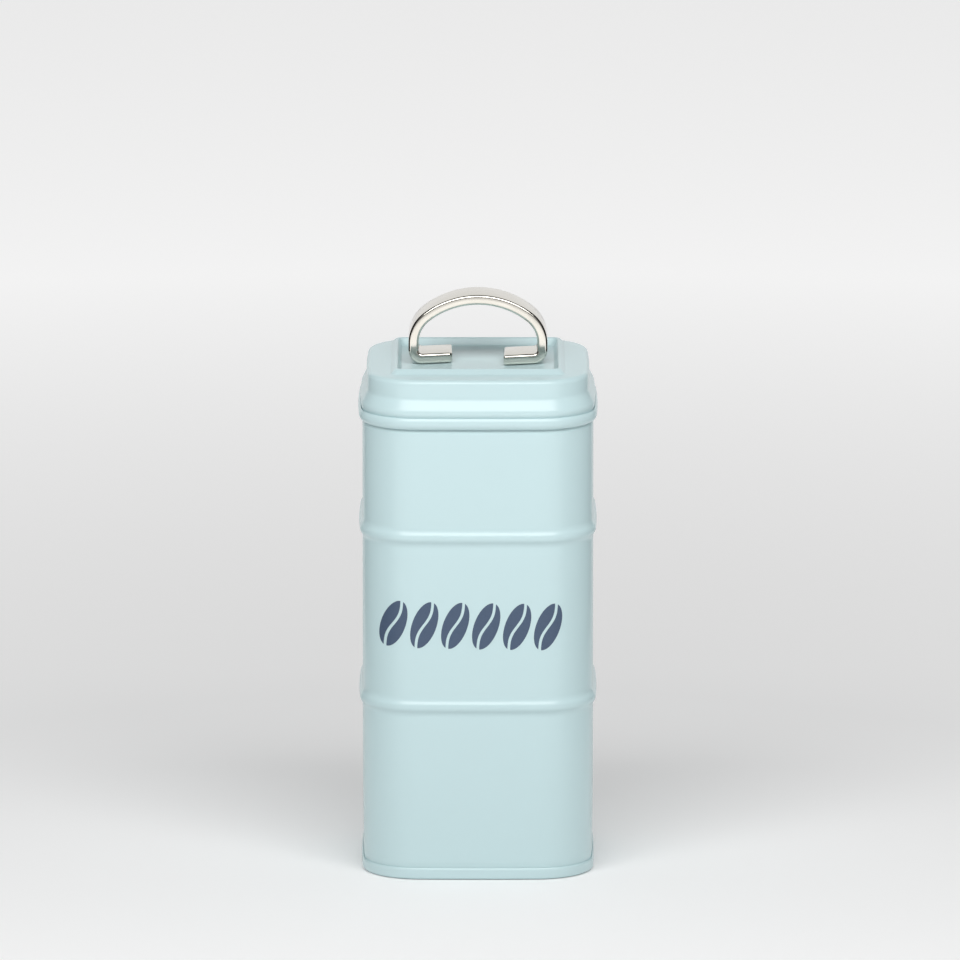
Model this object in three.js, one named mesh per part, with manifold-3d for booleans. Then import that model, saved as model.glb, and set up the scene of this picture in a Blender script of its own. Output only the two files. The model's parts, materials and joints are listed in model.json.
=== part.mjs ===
// Square storage tin with a lift-off lid. The body is one wrapped steel sheet with two
// rolled beads and a curled rim, closed below by a seamed base. The lid is one pressing
// with a hemmed edge, and carries a bent strap handle, held by two screws from inside.
// Millimetres, +Z up. The origin is the middle of the face that the tin stands on.

import * as THREE from 'three';
import { mergeVertices } from 'three/addons/utils/BufferGeometryUtils.js';
import Module from 'manifold-3d';

const wasm = await Module();
wasm.setup();

// Sheet, clearances and plan
const sheet = 0.5;             // thickness of the wall, base and lid steel
const gap = 0.3;               // left between pieces that touch
const tinWidth = 90;           // across the outside of the body, flat to flat
const cornerRadius = 22;       // outside of the body's upright corners
const sideCrown = 700;         // radius of each slightly bowed side, seen from above

// Body
const rimHeight = 186;         // top of the curled rim
const rimCurl = 1;             // radius of the curl, at the middle of the sheet
const beadHeights = [68.6, 135.6];
const beadProud = 1.3;         // how far a bead stands out of the wall
const beadWidth = 6.6;         // from edge to edge of a bead
const beadCrest = 2.7;         // radius of its crest, at the middle of the sheet
const neckRise = 1;            // height over which the wall steps in to the base's channel
const heelInset = 0.3;         // the wall's foot, in from its side
const heelHeight = 36;         // where it has widened to the full width
const mouthInset = 0.5;        // the wall inside the lid, in from its side
const mouthRise = 1;           // height of the step in to the mouth
const mouthDrop = 0.3;         // from the lid's lower edge down to that step

// Base
const bandHeight = 5;          // the seamed band round the foot of the tin
const bandProud = 0.35;        // how far the band stands out of the wall
const baseRise = 3.2;          // middle of the base sheet above the floor
const panelBend = 1;           // where the panel turns down into the channel
const channelBend = 0.5;       // the channel's lower corners

// Lid. Heights and radii of its section are those of the middle of the sheet.
const lidOverlap = 7.5;        // from the rim down to the lower edge of the hem
const hemHollow = 0.8;         // between the skirt and the widest part of its rolled edge
const hemCrest = 2.3;          // height of that part above the lower edge
const hemFold = 0.32;          // radius of the fold at the lower edge
const hemStop = 0.1;           // left between the end of the roll and the skirt
const shoulderDrop = 1.3;      // from the rim down to the widest part of the lower shoulder
const shoulderProud = 0.4;     // lower shoulder, out from the skirt
const shoulderRadius = 2.75;
const skirtFillet = 1.25;      // between the skirt and the lower shoulder
const flankSlope = 27;         // degrees that the flank above the lower shoulder leans in
const waistInset = 1.7;        // the waist, in from the body's side
const waistFillet = 3.25;      // between the flank and the waist
const waistStraight = 4.6;
const crownRadius = 1.75;      // upper shoulder
const crownRise = 0.5;         // from there in to the foot of the raised frame
const frameWidth = 11.1;       // from the body's side in to the foot of the frame
const bevelWidth = 2;          // sloping outside of the frame
const bevelRise = 1.95;
const ridgeWidth = 0.6;        // flat top of the frame
const recessSlope = 2;         // sloping inside of the frame
const recessDepth = 2.9;       // from the frame's top down to the panel
const frameCorner = 2;         // corner radius of the frame and the panel
const frameCrown = 1500;       // bow of the frame's sides

// Seal
const sealInset = 1.1;         // its outer edge, in from the body's side
const sealWidth = 2.4;
const sealHeight = 1.3;

// Handle
const strapThickness = 3.9;
const strapDepth = 18;
const strapEdge = 1.3;         // rounding of the strap's edges
const panelClearance = 2.3;    // from the foot of the recess to the handle's outside
const uprightHeight = 8.1;     // from under the feet to the start of the arch
const archRise = 19.1;         // from there to the top
const archShoulder = 15;       // outside radius where the arch turns down
const footBend = 5.4;          // outside radius of the lower bends
const footLength = 17;         // from the handle's outside to the end of a foot
const footTurn = 14;           // degrees that each foot is turned out of line

// Fasteners
const screwInset = 11.4;       // from the handle's outside to the screw
const screwDiameter = 4;
const headDiameter = 7.6;
const headHeight = 2.5;
const headRounding = 0.8;
const threadDepth = 2.5;       // how far a screw enters its foot
const washerDiameter = 9;
const washerThickness = 0.8;
const boreClearance = 0.3;     // round a screw, in radius

// Facets
const arcSteps = 2;            // pairs of facets in each bend of a section
const sideSteps = 2;           // facets along one bowed side
const cornerSteps = 6;         // facets round one corner
const roundSteps = 20;         // facets round a screw or washer
const strapSteps = 56;         // facets along the handle

const half = tinWidth / 2;
const wallMiddle = half - sheet / 2;
const waistMiddle = half - waistInset - sheet / 2;
const skirtMiddle = half - mouthInset + gap + sheet / 2;
const shoulderMiddle = skirtMiddle + shoulderProud;
const frameFoot = half - frameWidth;
const frameTop = frameFoot - bevelWidth;
const panelHalf = frameTop - ridgeWidth - recessSlope;
const hemBottom = rimHeight - lidOverlap;
const shoulderHeight = rimHeight - shoulderDrop;
const flankLean = THREE.MathUtils.degToRad(flankSlope);
const flankBends = shoulderRadius + waistFillet;
const flankFall = shoulderMiddle - waistMiddle - flankBends * (1 - Math.cos(flankLean));
const waistHeight = shoulderHeight + flankBends * Math.sin(flankLean) + flankFall / Math.tan(flankLean);
const crownHeight = waistHeight + waistStraight + crownRadius;
const frameHeight = crownHeight + crownRise;
const ridgeHeight = frameHeight + bevelRise;
const panelHeight = ridgeHeight - recessDepth;
const handleHalf = panelHalf - panelClearance;
const footHeight = panelHeight + sheet / 2 + gap;
const screwX = handleHalf - screwInset;

const paint = { color: '#cfe2e4', roughness: 0.35, metalness: 0 };
const plating = { color: '#c9c6c0', roughness: 0.15, metalness: 1 };
const zinc = { color: '#b9bcbf', roughness: 0.35, metalness: 1 };
const silicone = { color: '#e9ebe8', roughness: 0.6, metalness: 0 };

// The tin's plan is a square of bowed sides and round corners. Further in on the lid, the
// corners tighten and the sides straighten into those of the frame.
function planShape(halfWidth) {
  const outer = waistMiddle - crownRadius / 2;
  const share = THREE.MathUtils.clamp((outer - halfWidth) / (outer - frameFoot), 0, 1);
  const corner = THREE.MathUtils.lerp(cornerRadius + halfWidth - half, frameCorner, share);
  const crown = THREE.MathUtils.lerp(sideCrown + halfWidth - half, frameCrown, share);
  const turn = (crown - halfWidth) / ((crown - corner) * Math.SQRT2);
  const bow = Math.acos(turn) - Math.PI / 4;
  return { corner, crown, bow, centre: (crown - corner) * Math.sin(bow) };
}

// A point of the plan. A quarter of the stations is one side and the corner after it, and
// station 0 starts the front side.
function planPoint(halfWidth, station) {
  const quarterSteps = sideSteps + cornerSteps;
  const quarter = Math.floor(station / quarterSteps);
  const step = station % quarterSteps;
  const { corner, crown, bow, centre } = planShape(halfWidth);
  const point = new THREE.Vector2();
  if (step < sideSteps) {
    const angle = bow * (2 * step / sideSteps - 1);
    point.set(crown * Math.sin(angle), crown - halfWidth - crown * Math.cos(angle));
  } else {
    const angle = bow + (Math.PI / 2 - 2 * bow) * (step - sideSteps) / cornerSteps;
    point.set(centre + corner * Math.sin(angle), -centre - corner * Math.cos(angle));
  }
  return point.rotateAround(new THREE.Vector2(), quarter * Math.PI / 2);
}

// Joins the vertices that coincide and drops the facets that this flattens.
function closed(geometry) {
  const bare = new THREE.BufferGeometry();
  bare.setAttribute('position', geometry.getAttribute('position'));
  bare.setIndex(geometry.getIndex());
  const joined = mergeVertices(bare, 1e-4);
  const corners = joined.getIndex().array;
  const kept = [];
  for (let i = 0; i < corners.length; i += 3) {
    const [a, b, c] = corners.slice(i, i + 3);
    if (a !== b && b !== c && c !== a) {
      kept.push(a, b, c);
    }
  }
  joined.setIndex(kept);
  return joined;
}

// Sweeps a section of (half width, height) points round the plan.
function sweepRound(section) {
  const stations = 4 * (sideSteps + cornerSteps);
  const geometry = new THREE.LatheGeometry(section, stations);
  const position = geometry.getAttribute('position');
  for (let station = 0; station <= stations; station++) {
    section.forEach(({ x: halfWidth, y: height }, row) => {
      const place = planPoint(halfWidth, station % stations);
      place.multiplyScalar(Math.sign(halfWidth));
      position.setXYZ(station * section.length + row, place.x, place.y, height);
    });
  }
  return closed(geometry);
}

// Gives the middle line of a sheet its thickness. The section comes back counter-clockwise,
// and is left open only where the line starts on the axis.
function thicken(path) {
  const apart = (point, i, all) => i === 0 || point.distanceTo(all[i - 1]) > 1e-6;
  const line = path.getPoints(arcSteps).filter(apart);
  const side = (sign) => line.map((point, i) => {
    const arriving = point.clone().sub(line[Math.max(i - 1, 0)]).normalize();
    const leaving = line[Math.min(i + 1, line.length - 1)].clone().sub(point).normalize();
    const along = arriving.clone().add(leaving).normalize();
    const mitre = along.dot(i ? arriving : leaving);
    return new THREE.Vector2(along.y, -along.x).multiplyScalar(sign * sheet / 2 / mitre).add(point);
  });
  const section = [...side(1), ...side(-1).reverse()];
  return line[0].x === 0 ? section : [...section, section[0].clone()];
}

// A round piece on the Z axis, from a section of (radius, height) points.
function turned(section) {
  const geometry = new THREE.LatheGeometry(section, roundSteps);
  geometry.rotateX(Math.PI / 2);
  return closed(geometry);
}

function solidOf(geometry) {
  return new wasm.Manifold(new wasm.Mesh({
    numProp: 3,
    vertProperties: new Float32Array(geometry.getAttribute('position').array),
    triVerts: new Uint32Array(geometry.getIndex().array),
  }));
}

// Cuts an upright round hole at each screw.
function boreForScrews(geometry, radius, bottom, top) {
  let solid = solidOf(geometry);
  for (const { x, y } of screwPlaces) {
    const bar = new THREE.CylinderGeometry(radius, radius, top - bottom, roundSteps);
    bar.rotateX(Math.PI / 2);
    bar.translate(x, y, (bottom + top) / 2);
    solid = solid.subtract(solidOf(closed(bar)));
  }
  const { vertProperties, triVerts } = solid.getMesh();
  const cut = new THREE.BufferGeometry();
  cut.setAttribute('position', new THREE.BufferAttribute(vertProperties, 3));
  cut.setIndex(new THREE.BufferAttribute(triVerts, 1));
  return cut;
}

function piece(name, geometry, finish) {
  const faceted = geometry.toNonIndexed();
  faceted.computeVertexNormals();
  const mesh = new THREE.Mesh(faceted, new THREE.MeshStandardMaterial(finish));
  mesh.name = name;
  return mesh;
}

// How far a foot's turn carries it sideways at a place along the handle.
function footShift(x) {
  const reach = Math.max(handleHalf - footBend - Math.abs(x), 0);
  return -Math.sign(x) * reach * Math.tan(THREE.MathUtils.degToRad(footTurn));
}

const screwPlaces = [-screwX, screwX].map((x) => ({ x, y: footShift(x) }));

// One bead: a fillet out of the wall, the crest, and a fillet back.
function addBead(path, height) {
  const reach = beadWidth / 2;
  const radii = (beadProud ** 2 + reach ** 2) / (2 * beadProud);
  const fillet = radii - beadCrest;
  const swing = Math.asin(reach / radii);
  path.absarc(wallMiddle + fillet, height - reach, fillet, Math.PI, Math.PI - swing, true);
  path.absarc(wallMiddle + beadProud - beadCrest, height, beadCrest, -swing, swing, false);
  path.absarc(wallMiddle + fillet, height + reach, fillet, Math.PI + swing, Math.PI, true);
}

// The top of the wall: a step in to the mouth that the lid covers, then the curled rim.
function addMouth(path) {
  const step = hemBottom - mouthDrop;
  const curlX = wallMiddle - mouthInset - rimCurl;
  const curlHeight = rimHeight - sheet / 2 - rimCurl;
  path.lineTo(wallMiddle, step - mouthRise);
  path.lineTo(wallMiddle - mouthInset, step);
  path.absarc(curlX, curlHeight, rimCurl, 0, Math.PI, false);
  path.absarc(curlX, curlHeight, rimCurl, Math.PI, 1.5 * Math.PI, false);
}

// The wall: a neck that stands in the base's channel, the beads, and the curled rim.
function bodyWall() {
  const neck = half + bandProud - sheet - gap - sheet / 2;
  const path = new THREE.Path();
  path.moveTo(neck, sheet + gap);
  path.lineTo(neck, bandHeight + gap);
  path.lineTo(wallMiddle - heelInset, bandHeight + gap + neckRise);
  path.lineTo(wallMiddle, heelHeight);
  beadHeights.forEach((height) => addBead(path, height));
  addMouth(path);
  return piece('body_wall', sweepRound(thicken(path)), paint);
}

// The base: a raised panel, and a channel round it that grips the wall's neck.
function basePanel() {
  const outerLeg = half + bandProud - sheet / 2;
  const innerLeg = outerLeg - 2 * (sheet + gap);
  const bendHeight = sheet / 2 + channelBend;
  const path = new THREE.Path();
  path.moveTo(0, baseRise);
  path.lineTo(innerLeg - panelBend, baseRise);
  path.absarc(innerLeg - panelBend, baseRise - panelBend, panelBend, Math.PI / 2, 0, true);
  path.absarc(innerLeg + channelBend, bendHeight, channelBend, Math.PI, 1.5 * Math.PI, false);
  path.absarc(outerLeg - channelBend, bendHeight, channelBend, 1.5 * Math.PI, 2 * Math.PI, false);
  path.lineTo(outerLeg, bandHeight);
  return piece('base_panel', sweepRound(thicken(path)), paint);
}

// The lid's frame round the recessed panel, from the middle outwards.
function addFrame(path) {
  path.moveTo(0, panelHeight);
  path.lineTo(panelHalf, panelHeight);
  path.lineTo(panelHalf + recessSlope, ridgeHeight);
  path.lineTo(frameTop, ridgeHeight);
  path.lineTo(frameFoot, frameHeight);
}

// The lid's upper shoulder, waist, flank and lower shoulder, from the top down.
function addShoulders(path) {
  const skirtReach = skirtMiddle + skirtFillet - shoulderMiddle + shoulderRadius;
  const skirtSwing = Math.acos(skirtReach / (shoulderRadius + skirtFillet));
  const groove = shoulderHeight - (shoulderRadius + skirtFillet) * Math.sin(skirtSwing);
  const crownCentre = waistMiddle - crownRadius;
  const shoulderCentre = shoulderMiddle - shoulderRadius;
  path.absarc(crownCentre, crownHeight - crownRadius, crownRadius, Math.PI / 2, 0, true);
  path.absarc(waistMiddle + waistFillet, waistHeight, waistFillet, Math.PI, Math.PI + flankLean, false);
  path.absarc(shoulderCentre, shoulderHeight, shoulderRadius, flankLean, -skirtSwing, true);
  path.absarc(skirtMiddle + skirtFillet, groove, skirtFillet, Math.PI - skirtSwing, Math.PI, false);
}

// The skirt's lower edge: a tight fold, then a roll that bulges out and back to the skirt.
function addHem(path) {
  const rise = hemCrest - sheet / 2 - hemFold;
  const reach = sheet + hemHollow - hemFold;
  const roll = (rise ** 2 + reach ** 2 - hemFold ** 2) / (2 * (reach - hemFold));
  const swing = Math.asin(rise / (roll - hemFold));
  const centre = skirtMiddle + sheet + hemHollow - roll;
  const end = Math.acos((skirtMiddle + sheet / 2 + hemStop - centre) / (roll - sheet / 2));
  path.absarc(skirtMiddle + hemFold, hemBottom + sheet / 2 + hemFold, hemFold, Math.PI, 2 * Math.PI - swing, false);
  path.absarc(centre, hemBottom + hemCrest, roll, -swing, end, false);
}

function lidShell() {
  const path = new THREE.Path();
  addFrame(path);
  addShoulders(path);
  addHem(path);
  const radius = screwDiameter / 2 + boreClearance;
  const pressed = sweepRound(thicken(path));
  return piece('lid_shell', boreForScrews(pressed, radius, panelHeight - sheet, panelHeight + sheet), paint);
}

// The seal lies on the rim, inside the lid's leaning flank.
function lidSeal() {
  const round = sealHeight / 2;
  const height = rimHeight + gap + round;
  const outer = half - sealInset;
  const path = new THREE.Path();
  path.absarc(outer - round, height, round, -Math.PI / 2, Math.PI / 2, false);
  path.absarc(outer - sealWidth + round, height, round, Math.PI / 2, 1.5 * Math.PI, false);
  path.closePath();
  return piece('lid_seal', sweepRound(path.getPoints(2)), silicone);
}

// The middle line of the strap, drawn in the XZ plane from the left foot to the right.
function strapLine() {
  const middle = strapThickness / 2;
  const start = footHeight + uprightHeight;
  const reach = handleHalf - archShoulder;
  const arch = (reach ** 2 + archRise ** 2 - archShoulder ** 2) / (2 * (archRise - archShoulder));
  const swing = Math.asin(reach / (arch - archShoulder));
  const bendX = handleHalf - footBend;
  const bendZ = footHeight + footBend;
  const up = Math.PI / 2;
  const path = new THREE.Path();
  path.moveTo(footLength - handleHalf, footHeight + middle);
  path.lineTo(-bendX, footHeight + middle);
  path.absarc(-bendX, bendZ, footBend - middle, -up, -Math.PI, true);
  path.absarc(-reach, start, archShoulder - middle, Math.PI, up + swing, true);
  path.absarc(0, start + archRise - arch, arch - middle, up + swing, up - swing, true);
  path.absarc(reach, start, archShoulder - middle, up - swing, 0, true);
  path.absarc(bendX, bendZ, footBend - middle, 0, -up, true);
  path.lineTo(handleHalf - footLength, footHeight + middle);
  return path;
}

class UprightCurve extends THREE.Curve {
  constructor(path) {
    super();
    this.path = path;
  }

  getPoint(share, target = new THREE.Vector3()) {
    const { x, y } = this.path.getPoint(share);
    return target.set(x, 0, y);
  }

  // The strap isn't twisted, so its depth lies along Y all the way.
  computeFrenetFrames(steps) {
    const tangents = Array.from({ length: steps + 1 }, (_, i) => this.getTangentAt(i / steps));
    const binormals = tangents.map(() => new THREE.Vector3(0, -1, 0));
    const normals = tangents.map((tangent, i) => binormals[i].clone().cross(tangent));
    return { tangents, normals, binormals };
  }
}

function strapSection() {
  const x = strapThickness / 2 - strapEdge;
  const y = strapDepth / 2 - strapEdge;
  const quarter = Math.PI / 2;
  const shape = new THREE.Shape();
  shape.absarc(x, y, strapEdge, 0, quarter, false);
  shape.absarc(-x, y, strapEdge, quarter, 2 * quarter, false);
  shape.absarc(-x, -y, strapEdge, 2 * quarter, 3 * quarter, false);
  shape.absarc(x, -y, strapEdge, 3 * quarter, 4 * quarter, false);
  return shape;
}

// The handle: the strap bent along its line, its feet turned, and bored from below.
function handle() {
  const geometry = new THREE.ExtrudeGeometry(strapSection(), {
    steps: strapSteps,
    curveSegments: 1,
    extrudePath: new UprightCurve(strapLine()),
  });
  const bent = closed(geometry);
  const position = bent.getAttribute('position');
  for (let i = 0; i < position.count; i++) {
    if (position.getZ(i) < footHeight + strapThickness + sheet) {
      position.setY(i, position.getY(i) + footShift(position.getX(i)));
    }
  }
  const radius = screwDiameter / 2 + boreClearance;
  const depth = footHeight + threadDepth + gap;
  return piece('handle', boreForScrews(bent, radius, footHeight - gap, depth), plating);
}

// One screw, head down inside the lid, and the washer under its head.
function fasteners() {
  const washerTop = panelHeight - sheet / 2 - gap;
  const washerBottom = washerTop - washerThickness;
  const headTop = washerBottom - gap;
  const headBottom = headTop - headHeight;
  const shank = screwDiameter / 2;
  const head = headDiameter / 2;
  const bore = shank + boreClearance;
  const tip = footHeight + threadDepth;
  const rim = washerDiameter / 2;
  const point = (radius, height) => new THREE.Vector2(radius, height);
  const screw = turned([
    point(0, headBottom), point(head - headRounding, headBottom), point(head, headBottom + headRounding),
    point(head, headTop), point(shank, headTop), point(shank, tip), point(0, tip),
  ]);
  const washer = turned([
    point(bore, washerBottom), point(rim, washerBottom), point(rim, washerTop), point(bore, washerTop),
    point(bore, washerBottom),
  ]);
  return screwPlaces.flatMap(({ x, y }, i) => {
    const side = ['left', 'right'][i];
    const pair = [piece(`${side}_screw`, screw, zinc), piece(`${side}_washer`, washer, zinc)];
    pair.forEach((mesh) => mesh.position.set(x, y, 0));
    return pair;
  });
}

const tin = new THREE.Group();
tin.add(bodyWall(), basePanel());

const lid = new THREE.Group();
lid.add(lidShell(), lidSeal(), handle(), ...fasteners());

const coffeeTin = new THREE.Group();
coffeeTin.add(tin, lid);

export default coffeeTin;
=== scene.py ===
"""Looks for a square coffee tin: a beaded, bow-sided body, a stepped lid and a bent strap handle."""

import json
import math

import bpy
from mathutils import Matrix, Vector

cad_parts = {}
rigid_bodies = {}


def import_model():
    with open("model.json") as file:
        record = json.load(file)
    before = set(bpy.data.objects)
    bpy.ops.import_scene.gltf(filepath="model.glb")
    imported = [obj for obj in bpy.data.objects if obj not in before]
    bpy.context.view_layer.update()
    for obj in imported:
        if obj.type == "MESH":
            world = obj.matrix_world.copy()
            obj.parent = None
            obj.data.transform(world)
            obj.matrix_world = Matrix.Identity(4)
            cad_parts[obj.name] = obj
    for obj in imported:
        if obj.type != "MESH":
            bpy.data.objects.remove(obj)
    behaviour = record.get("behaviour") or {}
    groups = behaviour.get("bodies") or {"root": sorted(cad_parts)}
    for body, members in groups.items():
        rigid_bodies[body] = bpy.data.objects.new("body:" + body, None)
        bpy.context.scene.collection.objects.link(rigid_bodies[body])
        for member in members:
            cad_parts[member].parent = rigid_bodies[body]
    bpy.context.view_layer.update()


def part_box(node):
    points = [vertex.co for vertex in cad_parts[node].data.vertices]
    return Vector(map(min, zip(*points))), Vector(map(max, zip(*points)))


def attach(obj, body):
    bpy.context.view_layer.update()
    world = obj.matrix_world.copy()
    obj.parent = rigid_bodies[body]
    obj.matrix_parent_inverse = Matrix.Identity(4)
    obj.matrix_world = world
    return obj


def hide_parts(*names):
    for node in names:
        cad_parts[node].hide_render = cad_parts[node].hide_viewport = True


bpy.ops.object.select_all(action="SELECT")
bpy.ops.object.delete()
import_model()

# ---------------------------------------------------------------------------------------
# Body wall. One sheet of 0.5 mm tinplate wrapped round a bow-sided plan, with two beads
# rolled into it, stepped in at the mouth and curled over at the rim. Satin enamel outside.
# ---------------------------------------------------------------------------------------
MM = 0.001
SHEET = 0.5
GAP = 0.3
TIN_HALF = 45.0
CORNER = 22.0
SIDE_CROWN = 700.0
SIDE_STEPS = 14
CORNER_STEPS = 22

WALL_FOOT = 0.8
BAND_HEIGHT = 5.0
BAND_PROUD = 0.35
HEEL_INSET = 0.3
HEEL_HEIGHT = 36.0
BEAD_HEIGHTS = (68.6, 135.6)
BEAD_PROUD = 1.3
BEAD_WIDTH = 8.4
BEAD_CREST = 2.95
RIM_HEIGHT = 186.0
RIM_CURL = 1.25
MOUTH_INSET = 0.5
STEP_RISE = 1.0
CURL_TURN = 262
HEM_BOTTOM = 178.5


def arc(x, z, radius, start, end, steps=8):
    """Points of an arc in the plane of a section, with its ends, angles in degrees."""
    turns = [math.radians(start + (end - start) * i / steps) for i in range(steps + 1)]
    return [(x + radius * math.cos(t), z + radius * math.sin(t)) for t in turns]


def held(points, hold=0.7):
    """The section with each long straight stretch held by a point near both its ends."""
    kept = [points[0]]
    for (x0, z0), (x1, z1) in zip(points, points[1:]):
        length = math.hypot(x1 - x0, z1 - z0)
        if length < 1e-4:
            continue
        if length > 4 * hold:
            for share in (hold / length, 1 - hold / length):
                kept.append((x0 + (x1 - x0) * share, z0 + (z1 - z0) * share))
        kept.append((x1, z1))
    return kept


def start_piece(name):
    """A new mesh, cut down to one point, which is drawn out into the piece."""
    bpy.ops.object.select_all(action="DESELECT")
    bpy.ops.mesh.primitive_plane_add(size=MM)
    piece = bpy.context.active_object
    piece.name = piece.data.name = name
    bpy.ops.object.mode_set(mode="EDIT")
    bpy.ops.mesh.select_mode(type="VERT")
    bpy.ops.mesh.select_all(action="SELECT")
    bpy.ops.mesh.merge(type="CENTER")
    return piece


def draw(points):
    """Draws the selected point out along a line of points, in millimetres from the origin."""
    at = Vector((0, 0, 0))
    first = Vector(points[0]) * MM
    bpy.ops.transform.translate(value=first - at)
    at = first
    for point in points[1:]:
        to = Vector(point) * MM
        bpy.ops.mesh.extrude_vertices_move(TRANSFORM_OT_translate={"value": to - at})
        at = to
    bpy.ops.mesh.select_all(action="SELECT")
    bpy.ops.mesh.remove_doubles(threshold=1e-6)
    bpy.ops.mesh.select_all(action="SELECT")


def spin_round_plan():
    """Spins the section, drawn behind the middle, along four bowed sides and four corners."""
    turn = (SIDE_CROWN - TIN_HALF) / ((SIDE_CROWN - CORNER) * math.sqrt(2))
    bow = math.acos(turn) - math.pi / 4
    corner_at = (SIDE_CROWN - CORNER) * math.sin(bow)
    side_at = SIDE_CROWN - TIN_HALF
    sides = [(0, -side_at), (side_at, 0), (0, side_at), (-side_at, 0)]
    corners = [(-corner_at, corner_at), (-corner_at, -corner_at),
               (corner_at, -corner_at), (corner_at, corner_at)]
    half_steps = SIDE_STEPS // 2
    path = [(sides[0], bow, half_steps), (corners[0], math.pi / 2 - 2 * bow, CORNER_STEPS)]
    for i in (1, 2, 3):
        path.append((sides[i], 2 * bow, SIDE_STEPS))
        path.append((corners[i], math.pi / 2 - 2 * bow, CORNER_STEPS))
    path.append((sides[0], bow, half_steps))
    for (x, y), angle, steps in path:
        bpy.ops.mesh.spin(steps=steps, angle=angle, center=(x * MM, y * MM, 0), axis=(0, 0, -1))
    bpy.ops.mesh.select_all(action="SELECT")
    bpy.ops.mesh.remove_doubles(threshold=1e-6)


def turn_outwards(piece, place, out):
    """Turns the faces so that the one nearest to a place faces a given way."""
    bpy.ops.mesh.normals_make_consistent(inside=False)
    bpy.ops.object.mode_set(mode="OBJECT")
    spot = Vector(place) * MM
    near = min(piece.data.polygons, key=lambda face: (face.center - spot).length)
    if near.normal.dot(Vector(out)) < 0:
        bpy.ops.object.mode_set(mode="EDIT")
        bpy.ops.mesh.select_all(action="SELECT")
        bpy.ops.mesh.flip_normals()
        bpy.ops.object.mode_set(mode="OBJECT")


def modify(piece, kind, **settings):
    """Adds a modifier with its settings and applies it."""
    bpy.ops.object.select_all(action="DESELECT")
    piece.select_set(True)
    bpy.context.view_layer.objects.active = piece
    modifier = piece.modifiers.new(kind.title(), kind)
    for key, value in settings.items():
        setattr(modifier, key, value)
    bpy.ops.object.modifier_apply(modifier=modifier.name)


def smooth(piece, degrees=40):
    bpy.ops.object.select_all(action="DESELECT")
    piece.select_set(True)
    bpy.context.view_layer.objects.active = piece
    bpy.ops.object.shade_smooth_by_angle(angle=math.radians(degrees))


def linear(colour):
    """An sRGB hex colour as linear red, green, blue and alpha."""
    parts = [int(colour[i:i + 2], 16) / 255 for i in (1, 3, 5)]
    return [c / 12.92 if c <= 0.04045 else ((c + 0.055) / 1.055) ** 2.4 for c in parts] + [1.0]


def node(tree, kind, settings=None, links=None):
    """Adds a node, sets its properties and input values, and links its inputs."""
    made = tree.nodes.new(kind)
    for key, value in (settings or {}).items():
        if isinstance(key, str) and hasattr(made, key) and key not in made.inputs:
            setattr(made, key, value)
        else:
            made.inputs[key].default_value = value
    for key, source in (links or {}).items():
        tree.links.new(source, made.inputs[key])
    return made


def new_material(name):
    material = bpy.data.materials.new(name)
    material.use_nodes = True
    tree = material.node_tree
    tree.nodes.clear()
    return material, tree


def satin_enamel(name, colour):
    """Stoved satin enamel on tinplate. The eye sees a soft sheen, faint orange peel, and slow
    waves of the pressed sheet."""
    material, tree = new_material(name)
    place = node(tree, "ShaderNodeTexCoord").outputs["Object"]
    # Orange peel, drawn 2.5 mm across, about twice its real size, so that it holds at a distance.
    peel = node(tree, "ShaderNodeTexNoise", {"Scale": 400.0, "Detail": 0.0}, {"Vector": place})
    wave = node(tree, "ShaderNodeTexNoise", {"Scale": 45.0, "Detail": 1.0}, {"Vector": place})
    first = node(tree, "ShaderNodeBump", {"Strength": 1.0, "Distance": 0.000001},
                 {"Height": peel.outputs["Fac"]})
    both = node(tree, "ShaderNodeBump", {"Strength": 1.0, "Distance": 0.00001},
                {"Height": wave.outputs["Fac"], "Normal": first.outputs["Normal"]})
    shader = node(tree, "ShaderNodeBsdfPrincipled",
                  {"IOR": 1.5, "Roughness": 0.27, "Base Color": linear(colour)},
                  {"Normal": both.outputs["Normal"]})
    node(tree, "ShaderNodeOutputMaterial", {}, {"Surface": shader.outputs["BSDF"]})
    return material


def dress(piece, material, body, slot, *nodes):
    """Gives the piece its finish, hangs it on the body it rides on, and hides the model's parts that it
    stands in for.
    """
    piece.data.materials.clear()
    piece.data.materials.append(material)
    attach(piece, body)
    if nodes:
        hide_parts(*nodes)


def bead_section(height):
    """The outside of one bead: a fillet out of the wall, the crest, and a fillet back."""
    reach = BEAD_WIDTH / 2
    both = (BEAD_PROUD ** 2 + reach ** 2) / (2 * BEAD_PROUD)
    fillet = both - BEAD_CREST
    swing = math.degrees(math.asin(reach / both))
    return (arc(TIN_HALF + fillet, height - reach, fillet, 180, 180 - swing)
            + arc(TIN_HALF + BEAD_PROUD - BEAD_CREST, height, BEAD_CREST, -swing, swing, 14)
            + arc(TIN_HALF + fillet, height + reach, fillet, 180 + swing, 180))


neck = TIN_HALF + BAND_PROUD - SHEET - GAP
mouth = TIN_HALF - MOUTH_INSET
mouth_step = HEM_BOTTOM - GAP
band_step = BAND_HEIGHT + GAP
section = [(neck, WALL_FOOT), (neck, band_step), (TIN_HALF - HEEL_INSET, band_step + STEP_RISE)]
section += [(TIN_HALF, HEEL_HEIGHT)] + bead_section(BEAD_HEIGHTS[0]) + bead_section(BEAD_HEIGHTS[1])
section += [(TIN_HALF, mouth_step - STEP_RISE), (mouth, mouth_step)]
section += arc(mouth - RIM_CURL, RIM_HEIGHT - RIM_CURL, RIM_CURL, 0, CURL_TURN, 22)
body_wall = start_piece("enamelled_body")
draw([(0, x, z) for x, z in held(section)])
spin_round_plan()
turn_outwards(body_wall, (0, -TIN_HALF, 100), (0, -1, 0))
modify(body_wall, "SOLIDIFY", thickness=SHEET * MM, offset=-1, use_even_offset=True)
smooth(body_wall)
body_enamel = satin_enamel("satin_enamel_on_body", "#C3DBDE")
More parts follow.
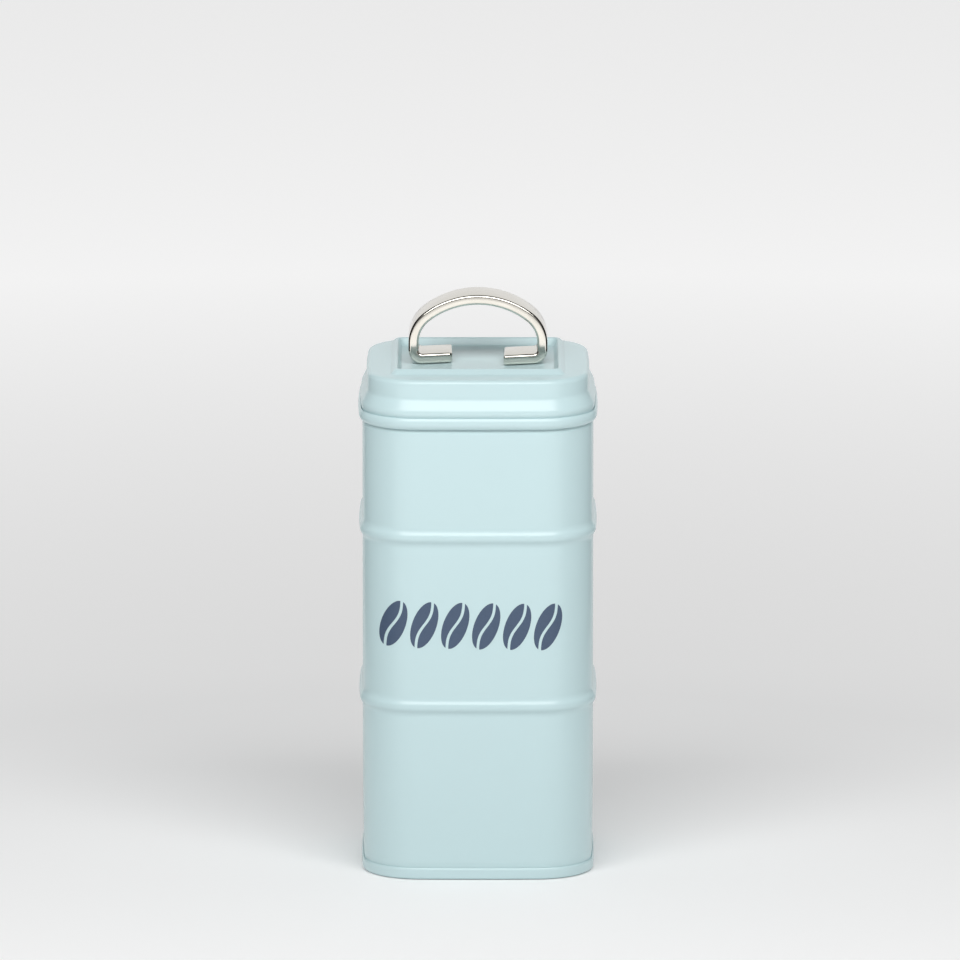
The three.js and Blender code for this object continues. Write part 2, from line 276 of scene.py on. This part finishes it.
dress(body_wall, body_enamel, "tin", "body_paint", "body_wall")

# ---------------------------------------------------------------------------------------
# Base. A pressed panel of the same tinplate, its edge rolled into a channel that grips the
# wall's foot and stands out as a narrow band. Enamelled with the body.
# ---------------------------------------------------------------------------------------
BASE_RISE = 3.2
PANEL_BEND = 1.25
PANEL_ROUNDING = 0.75
CHANNEL_BEND = 1.0
LIP_ROUNDING = 1.6
LIP_TURN = 42

band = TIN_HALF + BAND_PROUD
inner_leg = band - 2 * (SHEET + GAP) - SHEET
panel_top = BASE_RISE - SHEET / 2
section = [(inner_leg - PANEL_BEND, panel_top)]
section += arc(inner_leg - PANEL_ROUNDING, panel_top - PANEL_ROUNDING, PANEL_ROUNDING, 90, 0, 6)
section += arc(inner_leg + CHANNEL_BEND, CHANNEL_BEND, CHANNEL_BEND, 180, 270, 6)
section += arc(band - CHANNEL_BEND, CHANNEL_BEND, CHANNEL_BEND, 270, 360, 6)
section += arc(band - LIP_ROUNDING, BAND_HEIGHT - LIP_ROUNDING, LIP_ROUNDING, 0, LIP_TURN, 8)


def pick(piece, kind, test, rims=False):
    """Selects the faces or edges, or only the open edges, whose corners pass a test in mm."""
    bpy.ops.mesh.select_all(action="DESELECT")
    bpy.ops.mesh.select_mode(type=kind)
    if rims:
        bpy.ops.mesh.select_non_manifold()
    bpy.ops.object.mode_set(mode="OBJECT")
    points = [vertex.co / MM for vertex in piece.data.vertices]
    for part in piece.data.edges if kind == "EDGE" else piece.data.polygons:
        part.select = (part.select or not rims) and test([points[i] for i in part.vertices])
    bpy.ops.object.mode_set(mode="EDIT")


base = start_piece("enamelled_base")
draw([(0, x, z) for x, z in held(section)])
spin_round_plan()
pick(base, "EDGE", lambda ends: ends[0].z < BASE_RISE, rims=True)
bpy.ops.mesh.edge_face_add()
turn_outwards(base, (0, -band, 2.5), (0, -1, 0))
modify(base, "SOLIDIFY", thickness=SHEET * MM, offset=-1, use_even_offset=True)
smooth(base)
dress(base, body_enamel, "tin", "body_paint", "base_panel")

# ---------------------------------------------------------------------------------------
# Lock seam. Where the ends of the wall's sheet meet at the back, they are hooked together
# and flattened into a strip that stands a little proud, enamelled with the rest.
# ---------------------------------------------------------------------------------------
SEAM_WIDTH = 5.0
SEAM_PROUD = 0.32
SEAM_EDGE = 0.18
SEAM_PARTS = ((9.0, 63.6), (73.6, 130.6), (140.6, 175.8))

seam = None
for bottom, top in SEAM_PARTS:
    bpy.ops.object.select_all(action="DESELECT")
    bpy.ops.mesh.primitive_cube_add(size=MM, location=(0, TIN_HALF * MM, (bottom + top) / 2 * MM),
                                    scale=(SEAM_WIDTH, 2 * SEAM_PROUD, top - bottom))
    strip = bpy.context.active_object
    bpy.ops.object.transform_apply(location=True, rotation=False, scale=True)
    bpy.ops.object.mode_set(mode="EDIT")
    bpy.ops.mesh.select_all(action="SELECT")
    bpy.ops.mesh.bevel(offset=SEAM_EDGE * MM, segments=3, affect="EDGES")
    bpy.ops.object.mode_set(mode="OBJECT")
    if seam is None:
        seam = strip
    else:
        bpy.ops.object.select_all(action="DESELECT")
        strip.select_set(True)
        seam.select_set(True)
        bpy.context.view_layer.objects.active = seam
        bpy.ops.object.join()
seam.name = seam.data.name = "lock_seam"
smooth(seam)
dress(seam, body_enamel, "tin", "body_paint")

# ---------------------------------------------------------------------------------------
# Lid. One pressing of the same tinplate: a raised frame round a sunk panel, a stepped
# waist and a leaning flank, a skirt round the mouth, and a rolled hem. Satin enamel.
# ---------------------------------------------------------------------------------------
HEM_HOLLOW = 0.8
HEM_CREST = 2.3
HEM_FOLD = 0.32
SHOULDER_HEIGHT = 184.7
SHOULDER_PROUD = 0.4
SHOULDER_RADIUS = 3.0
SKIRT_FILLET = 1.0
FLANK_SLOPE = 27.0
WAIST_INSET = 1.7
WAIST_FILLET = 3.0
WAIST_STRAIGHT = 4.6
CROWN_RADIUS = 2.0
CROWN_RISE = 0.5
FRAME_WIDTH = 11.1
BEVEL_WIDTH = 2.0
BEVEL_RISE = 1.95
RIDGE_WIDTH = 0.6
RECESS_SLOPE = 2.0
RECESS_DEPTH = 2.9
FRAME_CORNER = 2.0
HEM_STOP = 0.1

skirt = TIN_HALF - MOUTH_INSET + GAP + SHEET
shoulder = skirt + SHOULDER_PROUD
waist = TIN_HALF - WAIST_INSET
lean = math.radians(FLANK_SLOPE)
bends = SHOULDER_RADIUS + WAIST_FILLET
fall = shoulder - waist - bends * (1 - math.cos(lean))
waist_height = SHOULDER_HEIGHT + bends * math.sin(lean) + fall / math.tan(lean)
crown_height = waist_height + WAIST_STRAIGHT + CROWN_RADIUS
frame_foot = TIN_HALF - FRAME_WIDTH
frame_top = frame_foot - BEVEL_WIDTH
ridge_in = frame_top - RIDGE_WIDTH
panel_half = ridge_in - RECESS_SLOPE
frame_height = crown_height + CROWN_RISE
ridge_height = frame_height + BEVEL_RISE
panel_height = ridge_height - RECESS_DEPTH

curves = SHOULDER_RADIUS + SKIRT_FILLET
swing = math.degrees(math.acos((skirt + SKIRT_FILLET - shoulder + SHOULDER_RADIUS) / curves))
groove = SHOULDER_HEIGHT - curves * math.sin(math.radians(swing))
section = arc(waist - CROWN_RADIUS, crown_height - CROWN_RADIUS, CROWN_RADIUS, 90, 0, 12)
section += arc(waist + WAIST_FILLET, waist_height, WAIST_FILLET, 180, 180 + FLANK_SLOPE)
section += arc(shoulder - SHOULDER_RADIUS, SHOULDER_HEIGHT, SHOULDER_RADIUS, FLANK_SLOPE, -swing, 12)
section += arc(skirt + SKIRT_FILLET, groove, SKIRT_FILLET, 180 - swing, 180, 6)
skirt_middle = skirt - SHEET / 2
rise = HEM_CREST - SHEET / 2 - HEM_FOLD
reach = SHEET + HEM_HOLLOW - HEM_FOLD
roll = (rise ** 2 + reach ** 2 - HEM_FOLD ** 2) / (2 * (reach - HEM_FOLD))
roll_swing = math.degrees(math.asin(rise / (roll - HEM_FOLD)))
roll_at = skirt_middle + SHEET + HEM_HOLLOW - roll
roll_end = math.degrees(math.acos((skirt + HEM_STOP - roll_at) / (roll - SHEET / 2)))
fold_at = skirt_middle + HEM_FOLD
fold_height = HEM_BOTTOM + SHEET / 2 + HEM_FOLD
inside = HEM_FOLD - SHEET / 2
section += arc(fold_at, fold_height, inside, 180, 360 - roll_swing, 8)
section += arc(roll_at, HEM_BOTTOM + HEM_CREST, roll - SHEET / 2, -roll_swing, roll_end, 10)
lid = start_piece("enamelled_lid")
draw([(0, x, z) for x, z in held(section)])
spin_round_plan()
bpy.ops.object.mode_set(mode="OBJECT")

bpy.ops.object.select_all(action="DESELECT")
bpy.ops.mesh.primitive_plane_add(size=2 * panel_half * MM, location=(0, 0, panel_height * MM))
panel = bpy.context.active_object
bpy.ops.object.transform_apply(location=True, rotation=False, scale=True)
bpy.ops.object.mode_set(mode="EDIT")
bpy.ops.mesh.select_all(action="SELECT")
bpy.ops.mesh.bevel(offset=FRAME_CORNER * MM, segments=6, affect="VERTICES")
pick(panel, "EDGE", lambda ends: True, rims=True)
at, height = panel_half, panel_height
# The frame's section from the panel outwards, with each of its creases rounded.
steps = [(panel_half + 0.35, panel_height + 0.05), (panel_half + 0.6, panel_height + 0.3),
         (ridge_in - 0.35, ridge_height - 0.45), (ridge_in - 0.1, ridge_height - 0.12),
         (ridge_in + 0.2, ridge_height),
         (frame_top - 0.1, ridge_height), (frame_top + 0.2, ridge_height - 0.1),
         (frame_foot - 0.25, frame_height + 0.25), (frame_foot, frame_height + 0.06),
         (frame_foot + 0.4, frame_height)]
for x, z in steps:
    bpy.ops.mesh.extrude_edges_move(TRANSFORM_OT_translate={"value": (0, 0, (z - height) * MM)})
    bpy.ops.transform.resize(value=(x / at, x / at, 1), center_override=(0, 0, 0))
    at, height = x, z
bpy.ops.object.mode_set(mode="OBJECT")


def join(pieces):
    """Joins pieces into the first of them."""
    bpy.ops.object.select_all(action="DESELECT")
    for piece in pieces:
        piece.select_set(True)
    bpy.context.view_layer.objects.active = pieces[0]
    bpy.ops.object.join()
    return pieces[0]


join([lid, panel])
bpy.ops.object.mode_set(mode="EDIT")
pick(lid, "EDGE", lambda ends: ends[0].z > crown_height - 0.1, rims=True)
bpy.ops.mesh.bridge_edge_loops()
bpy.ops.mesh.select_all(action="SELECT")
turn_outwards(lid, (0, 0, panel_height), (0, 0, 1))
modify(lid, "SOLIDIFY", thickness=SHEET * MM, offset=-1, use_even_offset=True)
smooth(lid)
lid_enamel = satin_enamel("satin_enamel_on_lid", "#C3DBDE")
dress(lid, lid_enamel, "lid", "lid_paint", "lid_shell")

# ---------------------------------------------------------------------------------------
# Seal. A moulded ring of translucent white silicone that lies on the rim inside the lid's
# flank and keeps the coffee from going stale. It is only pressed in.
# ---------------------------------------------------------------------------------------
SEAL_HEIGHT = 1.3
SEAL_INSET = 1.1
SEAL_WIDTH = 2.4


def silicone():
    """Moulded silicone rubber: milky, a little light goes in, with a fine matt mould skin."""
    material, tree = new_material("moulded_silicone")
    place = node(tree, "ShaderNodeTexCoord").outputs["Object"]
    skin = node(tree, "ShaderNodeTexNoise", {"Scale": 2200.0, "Detail": 2.0}, {"Vector": place})
    bump = node(tree, "ShaderNodeBump", {"Strength": 1.0, "Distance": 0.00001},
                {"Height": skin.outputs["Fac"]})
    cloud = node(tree, "ShaderNodeTexNoise", {"Scale": 120.0, "Detail": 2.0}, {"Vector": place})
    tint = node(tree, "ShaderNodeMix", {"data_type": "RGBA"}, {"Factor": cloud.outputs["Fac"]})
    tint.inputs["A"].default_value = linear("#E4E7E2")
    tint.inputs["B"].default_value = linear("#ECEEE9")
    shader = node(tree, "ShaderNodeBsdfPrincipled",
                  {"IOR": 1.41, "Roughness": 0.5, "Subsurface Weight": 0.3, "Subsurface Scale": 0.002},
                  {"Base Color": tint.outputs["Result"], "Normal": bump.outputs["Normal"]})
    node(tree, "ShaderNodeOutputMaterial", {}, {"Surface": shader.outputs["BSDF"]})
    return material


seal_round = SEAL_HEIGHT / 2
seal_out = TIN_HALF - SEAL_INSET
seal_at = RIM_HEIGHT + GAP + seal_round
section = arc(seal_out - seal_round, seal_at, seal_round, -90, 90)
section += arc(seal_out - SEAL_WIDTH + seal_round, seal_at, seal_round, 90, 270)
seal = start_piece("silicone_seal")
draw([(0, x, z) for x, z in section + section[:1]])
spin_round_plan()
turn_outwards(seal, (0, -seal_out, seal_at), (0, -1, 0))
smooth(seal, 60)
dress(seal, silicone(), "lid", "seal", "lid_seal")

# ---------------------------------------------------------------------------------------
# Handle. A flat steel strap, 18 by 3.9 mm with rounded edges, bent to an arch with two feet
# turned in under it, and nickel plated bright. Two screws hold it from inside the lid.
# ---------------------------------------------------------------------------------------
low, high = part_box("handle")
STRAP = 3.9
STRAP_DEPTH = 18.0
STRAP_EDGE = 1.3
UPRIGHT = 8.1
ARCH_RISE = 19.1
ARCH_SHOULDER = 15.0
FOOT_BEND = 5.4
FOOT_LENGTH = 17.0
FOOT_TURN = 14.0

handle_half = high.x / MM
foot = low.z / MM


def bright_nickel():
    """Bright nickel over polished steel: a warm mirror, faint long polishing waves, and hair
    scratches along the strap where hands have rubbed it."""
    material, tree = new_material("bright_nickel_plate")
    place = node(tree, "ShaderNodeTexCoord").outputs["Object"]
    along = node(tree, "ShaderNodeMapping", {"Scale": (1.0, 9.0, 1.0)}, {"Vector": place})
    hair = node(tree, "ShaderNodeTexNoise", {"Scale": 500.0, "Detail": 4.0},
                {"Vector": along.outputs["Vector"]})
    wave = node(tree, "ShaderNodeTexNoise", {"Scale": 90.0, "Detail": 1.0}, {"Vector": place})
    rub = node(tree, "ShaderNodeTexNoise", {"Scale": 140.0, "Detail": 4.0}, {"Vector": place})
    gloss = node(tree, "ShaderNodeMapRange",
                 {"From Min": 0.35, "From Max": 0.7, "To Min": 0.1, "To Max": 0.17},
                 {"Value": rub.outputs["Fac"]})
    tint = node(tree, "ShaderNodeMix", {"data_type": "RGBA"}, {"Factor": rub.outputs["Fac"]})
    tint.inputs["A"].default_value = linear("#E3DFD6")
    tint.inputs["B"].default_value = linear("#DAD6CC")
    first = node(tree, "ShaderNodeBump", {"Strength": 1.0, "Distance": 0.000004},
                 {"Height": hair.outputs["Fac"]})
    both = node(tree, "ShaderNodeBump", {"Strength": 1.0, "Distance": 0.00006},
                {"Height": wave.outputs["Fac"], "Normal": first.outputs["Normal"]})
    shader = node(tree, "ShaderNodeBsdfPrincipled", {"Metallic": 1.0},
                  {"Base Color": tint.outputs["Result"], "Roughness": gloss.outputs["Result"],
                   "Normal": both.outputs["Normal"]})
    node(tree, "ShaderNodeOutputMaterial", {}, {"Surface": shader.outputs["BSDF"]})
    return material


middle = STRAP / 2
start = foot + UPRIGHT
reach = handle_half - ARCH_SHOULDER
arch = (reach ** 2 + ARCH_RISE ** 2 - ARCH_SHOULDER ** 2) / (2 * (ARCH_RISE - ARCH_SHOULDER))
turned = math.degrees(math.asin(reach / (arch - ARCH_SHOULDER)))
bend_x = handle_half - FOOT_BEND
bend_z = foot + FOOT_BEND
line = [(FOOT_LENGTH - handle_half, foot + middle), (FOOT_LENGTH / 2 - handle_half, foot + middle)]
line += arc(-bend_x, bend_z, FOOT_BEND - middle, 270, 180, 14)
line += arc(-reach, start, ARCH_SHOULDER - middle, 180, 90 + turned, 20)
line += arc(0, start + ARCH_RISE - arch, arch - middle, 90 + turned, 90 - turned, 32)
line += arc(reach, start, ARCH_SHOULDER - middle, 90 - turned, 0, 20)
line += arc(bend_x, bend_z, FOOT_BEND - middle, 0, -90, 14)
line += [(handle_half - FOOT_LENGTH / 2, foot + middle), (handle_half - FOOT_LENGTH, foot + middle)]
handle = start_piece("plated_handle")
draw([(x, -STRAP_DEPTH / 2, z) for x, z in held(line, 1.0)])
bpy.ops.mesh.extrude_region_move(TRANSFORM_OT_translate={"value": (0, STRAP_DEPTH * MM, 0)})
bpy.ops.mesh.select_mode(type="VERT")
# The feet turn slightly, the right one towards the front and the left one towards the back,
# so each is skewed sideways, by nothing at its bend and by the most at its end.
foot_places = {round(x, 3) for x, z in held(line, 1.0) if abs(x) < bend_x - 0.01 and z < foot + STRAP}
for x in sorted(foot_places):
    bpy.ops.mesh.select_all(action="DESELECT")
    bpy.ops.object.mode_set(mode="OBJECT")
    for vertex in handle.data.vertices:
        vertex.select = abs(vertex.co.x / MM - x) < 0.01 and vertex.co.z < (foot + STRAP) * MM
    bpy.ops.object.mode_set(mode="EDIT")
    shift = -math.copysign((bend_x - abs(x)) * math.tan(math.radians(FOOT_TURN)), x)
    bpy.ops.transform.translate(value=(0, shift * MM, 0))
bpy.ops.mesh.select_all(action="SELECT")
turn_outwards(handle, (0, 0, high.z / MM), (0, 0, 1))
modify(handle, "SOLIDIFY", thickness=STRAP * MM, offset=0, use_even_offset=True)
modify(handle, "BEVEL", width=STRAP_EDGE * MM, segments=6, limit_method="ANGLE",
       angle_limit=math.radians(60))
smooth(handle, 35)
dress(handle, bright_nickel(), "lid", "handle_plate", "handle")

# ---------------------------------------------------------------------------------------
# Fasteners. Two zinc-plated pan-head screws with cross recesses, each on a plain washer,
# driven up through the lid's panel into the handle's feet.
# ---------------------------------------------------------------------------------------
def zinc_plate():
    """Bright zinc on steel: a cool grey metal, duller than the nickel, with fine mottling."""
    material, tree = new_material("zinc_plated_steel")
    place = node(tree, "ShaderNodeTexCoord").outputs["Object"]
    mottle = node(tree, "ShaderNodeTexNoise", {"Scale": 900.0, "Detail": 4.0}, {"Vector": place})
    gloss = node(tree, "ShaderNodeMapRange", {"To Min": 0.28, "To Max": 0.42},
                 {"Value": mottle.outputs["Fac"]})
    tint = node(tree, "ShaderNodeMix", {"data_type": "RGBA"}, {"Factor": mottle.outputs["Fac"]})
    tint.inputs["A"].default_value = linear("#B4B9BD")
    tint.inputs["B"].default_value = linear("#C9CDCF")
    bump = node(tree, "ShaderNodeBump", {"Strength": 1.0, "Distance": 0.00001},
                {"Height": mottle.outputs["Fac"]})
    shader = node(tree, "ShaderNodeBsdfPrincipled", {"Metallic": 1.0},
                  {"Base Color": tint.outputs["Result"], "Roughness": gloss.outputs["Result"],
                   "Normal": bump.outputs["Normal"]})
    node(tree, "ShaderNodeOutputMaterial", {}, {"Surface": shader.outputs["BSDF"]})
    return material


def turn_round(x, y):
    """Spins an outline a full turn about an upright line."""
    bpy.ops.mesh.spin(steps=TURNED_STEPS, angle=2 * math.pi, center=(x * MM, y * MM, 0), axis=(0, 0, 1))
    bpy.ops.mesh.select_all(action="SELECT")
    bpy.ops.mesh.remove_doubles(threshold=1e-6)


zinc = zinc_plate()
HEAD_ROUNDING = 0.8
HEAD_HEIGHT = 2.5
HEAD_FLAT = 1.2
SHANK = 2.0
THREAD_PITCH = 0.7
THREAD_DEPTH = 0.3
THREAD_START = 1.0
THREAD_STOP = 0.6
POINT = 0.4
RECESS = (4.4, 0.9, 1.5)
WASHER_BORE = 2.3
WASHER_EDGE = 0.12
TURNED_STEPS = 40

for side in ("left", "right"):
    low, high = (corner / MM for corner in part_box(side + "_screw"))
    x, y = (low.x + high.x) / 2, (low.y + high.y) / 2
    head = (high.x - low.x) / 2
    outline = [(0, low.z), (head - HEAD_ROUNDING - HEAD_FLAT, low.z)]
    outline += arc(head - HEAD_ROUNDING, low.z + HEAD_ROUNDING, HEAD_ROUNDING, -90, 0, 6)
    outline += [(head, low.z + HEAD_HEIGHT), (SHANK, low.z + HEAD_HEIGHT)]
    turn_height = low.z + HEAD_HEIGHT + THREAD_START
    while turn_height + THREAD_PITCH < high.z - THREAD_STOP:
        outline += [(SHANK, turn_height), (SHANK - THREAD_DEPTH, turn_height + THREAD_PITCH / 2),
                    (SHANK, turn_height + THREAD_PITCH)]
        turn_height += THREAD_PITCH
    outline += [(SHANK - POINT, high.z), (0, high.z)]
    screw = start_piece(side + "_pan_screw")
    draw([(x + r, y, z) for r, z in outline])
    turn_round(x, y)
    turn_outwards(screw, (x + head, y, low.z + 1.5), (1, 0, 0))
    cutters = []
    for width, depth in ((RECESS[0], RECESS[1]), (RECESS[1], RECESS[0])):
        bpy.ops.object.select_all(action="DESELECT")
        bpy.ops.mesh.primitive_cube_add(size=MM, location=(x * MM, y * MM, low.z * MM),
                                        scale=(width, depth, 2 * RECESS[2]))
        cutters.append(bpy.context.active_object)
        bpy.ops.object.transform_apply(location=True, rotation=False, scale=True)
    for cutter in cutters:
        modify(screw, "BOOLEAN", object=cutter, operation="DIFFERENCE", solver="EXACT")
        bpy.data.objects.remove(cutter)
    smooth(screw, 30)
    dress(screw, zinc, "lid", "fasteners", side + "_screw")

    low, high = (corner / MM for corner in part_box(side + "_washer"))
    rim, bore, edge = (high.x - low.x) / 2, WASHER_BORE, WASHER_EDGE
    outline = [(bore, low.z + edge), (bore + edge, low.z), (rim - edge, low.z), (rim, low.z + edge),
               (rim, high.z - edge), (rim - edge, high.z), (bore + edge, high.z), (bore, high.z - edge),
               (bore, low.z + edge)]
    washer = start_piece(side + "_plain_washer")
    draw([(x + r, y, z) for r, z in outline])
    turn_round(x, y)
    turn_outwards(washer, (x + rim, y, (low.z + high.z) / 2), (1, 0, 0))
    smooth(washer, 30)
    dress(washer, zinc, "lid", "fasteners", side + "_washer")

# ---------------------------------------------------------------------------------------
# Print. A row of six plain coffee beans in slate blue ink, screen printed on the enamel of
# the front and stoved with it. Each bean is two halves with the crease left bare.
# ---------------------------------------------------------------------------------------
BEANS = 6
BEAN_PITCH = 12.0
BEAN_WIDE = 4.7
BEAN_TALL = 9.6
BEAN_TILT = 20.0
CREASE = 0.55
ROW_SLOPE = 1.0
CREASE_CURL = 0.95
CREASE_END = 7
CUT_PITCH = 0.6
CUTS = range(-75, 66)
PRINT_MIDDLE = (-2.8, 100.8)
PRINT_AHEAD = 1.0
INK = 0.04


def bean_half(sign, steps=26):
    """The outline of one half of a bean: its rim, then back along the curling crease."""
    top = math.radians(CREASE_END)
    points = []
    for i in range(steps + 1):
        turn = top + (math.pi - 2 * top) * i / steps
        points.append((sign * BEAN_WIDE * math.sin(turn), BEAN_TALL * math.cos(turn)))
    for i in range(1, steps):
        z = -BEAN_TALL * math.cos(top) * (1 - 2 * i / steps)
        points.append((CREASE_CURL * math.sin(math.pi * z / BEAN_TALL) + sign * CREASE, z))
    return points


tilt = math.radians(BEAN_TILT)
slope = math.tan(math.radians(ROW_SLOPE))
halves = []
for i in range(BEANS):
    middle_x = PRINT_MIDDLE[0] + (i - (BEANS - 1) / 2) * BEAN_PITCH
    for sign in (-1, 1):
        half = start_piece("bean")
        middle_z = PRINT_MIDDLE[1] - slope * middle_x
        outline = [(middle_x + u * math.cos(tilt) + v * math.sin(tilt), -TIN_HALF - PRINT_AHEAD,
                    middle_z - u * math.sin(tilt) + v * math.cos(tilt)) for u, v in bean_half(sign)]
        draw(outline)
        bpy.ops.mesh.edge_face_add()
        bpy.ops.mesh.select_all(action="SELECT")
        turn_outwards(half, outline[0], (0, -1, 0))
        halves.append(half)
beans = join(halves)
beans.name = beans.data.name = "printed_beans"
# Upright cuts let the print bend with the wall's corners.
bpy.ops.object.mode_set(mode="EDIT")
for i in CUTS:
    bpy.ops.mesh.select_all(action="SELECT")
    bpy.ops.mesh.bisect(plane_co=(CUT_PITCH * i * MM, 0, 0), plane_no=(1, 0, 0))
bpy.ops.object.mode_set(mode="OBJECT")
modify(beans, "SHRINKWRAP", target=body_wall, wrap_method="PROJECT", use_project_y=True,
       use_positive_direction=True, use_negative_direction=False, offset=INK * MM)


def slate_ink():
    """Stoved screen ink: thin, even and a little flatter than the enamel, with a faint mottle
    where the mesh of the screen left more or less ink."""
    material, tree = new_material("stoved_slate_ink")
    place = node(tree, "ShaderNodeTexCoord").outputs["Object"]
    mottle = node(tree, "ShaderNodeTexNoise", {"Scale": 1500.0, "Detail": 3.0}, {"Vector": place})
    tint = node(tree, "ShaderNodeMix", {"data_type": "RGBA"}, {"Factor": mottle.outputs["Fac"]})
    tint.inputs["A"].default_value = linear("#3F5068")
    tint.inputs["B"].default_value = linear("#4A5B74")
    bump = node(tree, "ShaderNodeBump", {"Strength": 1.0, "Distance": 0.000004},
                {"Height": mottle.outputs["Fac"]})
    shader = node(tree, "ShaderNodeBsdfPrincipled", {"IOR": 1.5, "Roughness": 0.4},
                  {"Base Color": tint.outputs["Result"], "Normal": bump.outputs["Normal"]})
    node(tree, "ShaderNodeOutputMaterial", {}, {"Surface": shader.outputs["BSDF"]})
    return material


dress(beans, slate_ink(), "tin", "body_paint")

# ---------------------------------------------------------------------------------------
# Studio. A white floor, a pale room that is brightest behind the tin, and one wide soft box
# above and in front, seen through a long lens that looks slightly down.
# ---------------------------------------------------------------------------------------
LENS_DISTANCE = 6.0
PITCH = 11.7
VIEW_WIDTH = 374.269
AIM = (0.0008, 0.0, 0.1494)
FLOOR_SIZE = 30
FLOOR_DROP = 0.0002
SENSOR_WIDTH = 36
KEY_SIZE = (2.0, 0.7)
KEY_POWER = 24
KEY_PLACE = (0, -0.98, 1.28)
KEY_TARGET = (0, 0, 0.15)
CARD_SIZE = (0.005, 0.7, 0.6)
CARD_DEPTH_PLACE = 0.1
CARD_PLACES = {"left_black_card": -0.3, "right_black_card": 0.3}

bpy.ops.object.select_all(action="DESELECT")
bpy.ops.mesh.primitive_plane_add(size=FLOOR_SIZE, location=(0, 0, -FLOOR_DROP))
floor = bpy.context.active_object
floor.name = "floor"
material, tree = new_material("white_floor")
# Further out the floor is lit from below as well, so that it stays pale.
away = node(tree, "ShaderNodeVectorMath", {"operation": "LENGTH"},
            {0: node(tree, "ShaderNodeTexCoord").outputs["Object"]})
back_light = node(tree, "ShaderNodeMapRange",
                  {"From Min": 0.3, "From Max": 1.2, "To Min": 0.08, "To Max": 0.5},
                  {"Value": away.outputs["Value"]})
shader = node(tree, "ShaderNodeBsdfPrincipled",
              {"Base Color": (0.85, 0.85, 0.85, 1), "Roughness": 0.9, "Emission Color": (1, 1, 1, 1)},
              {"Emission Strength": back_light.outputs["Result"]})
node(tree, "ShaderNodeOutputMaterial", {}, {"Surface": shader.outputs["BSDF"]})
floor.data.materials.append(material)

world = bpy.data.worlds.new("white_room")
bpy.context.scene.world = world
world.use_nodes = True
tree = world.node_tree
tree.nodes.clear()
direction = node(tree, "ShaderNodeTexCoord").outputs["Generated"]
split = node(tree, "ShaderNodeSeparateXYZ", {}, {"Vector": direction})
# The far wall is bright, and the ceiling and the wall behind the camera are dimmer.
far_wall = node(tree, "ShaderNodeMapRange",
                {"From Min": -0.2, "From Max": 0.5, "To Min": 0.22, "To Max": 0.85},
                {"Value": split.outputs["Y"]})
ceiling = node(tree, "ShaderNodeMapRange",
               {"From Min": 0.45, "From Max": 0.8, "To Min": 1.0, "To Max": 0.3},
               {"Value": split.outputs["Z"]})
level = node(tree, "ShaderNodeMath", {"operation": "MULTIPLY"},
             {0: far_wall.outputs["Result"], 1: ceiling.outputs["Result"]})
back = node(tree, "ShaderNodeBackground", {"Color": (1, 1, 1, 1)}, {"Strength": level.outputs[0]})
node(tree, "ShaderNodeOutputWorld", {}, {"Surface": back.outputs["Background"]})

bpy.ops.object.light_add(type="AREA", location=KEY_PLACE)
light = bpy.context.active_object
light.name = "key_box"
light.data.shape = "RECTANGLE"
light.data.size, light.data.size_y = KEY_SIZE
light.data.energy = KEY_POWER
light.rotation_euler = (Vector(KEY_TARGET) - Vector(KEY_PLACE)).to_track_quat("-Z", "Y").to_euler()

# Two black cards that show only in reflections draw the dark edges of the tin and the handle.
card_material, tree = new_material("black_card")
black = node(tree, "ShaderNodeBsdfDiffuse", {"Color": (0.01, 0.01, 0.01, 1)})
node(tree, "ShaderNodeOutputMaterial", {}, {"Surface": black.outputs["BSDF"]})
for name, x in CARD_PLACES.items():
    bpy.ops.mesh.primitive_cube_add(size=1, location=(x, CARD_DEPTH_PLACE, CARD_SIZE[2] / 2))
    card = bpy.context.active_object
    card.name = name
    bpy.ops.transform.resize(value=CARD_SIZE)
    bpy.ops.object.transform_apply(location=True, rotation=False, scale=True)
    card.data.materials.append(card_material)
    card.visible_camera = card.visible_diffuse = card.visible_shadow = False

pitch = math.radians(PITCH)
place = Vector(AIM) + LENS_DISTANCE * Vector((0, -math.cos(pitch), math.sin(pitch)))
bpy.ops.object.camera_add(location=place)
camera = bpy.context.active_object
camera.rotation_euler = (Vector(AIM) - place).to_track_quat("-Z", "Y").to_euler()
camera.data.sensor_width = SENSOR_WIDTH
camera.data.lens = SENSOR_WIDTH * LENS_DISTANCE / MM / VIEW_WIDTH
camera.data.clip_end = 100
bpy.context.scene.camera = camera
bpy.context.scene.view_settings.view_transform = "Standard"
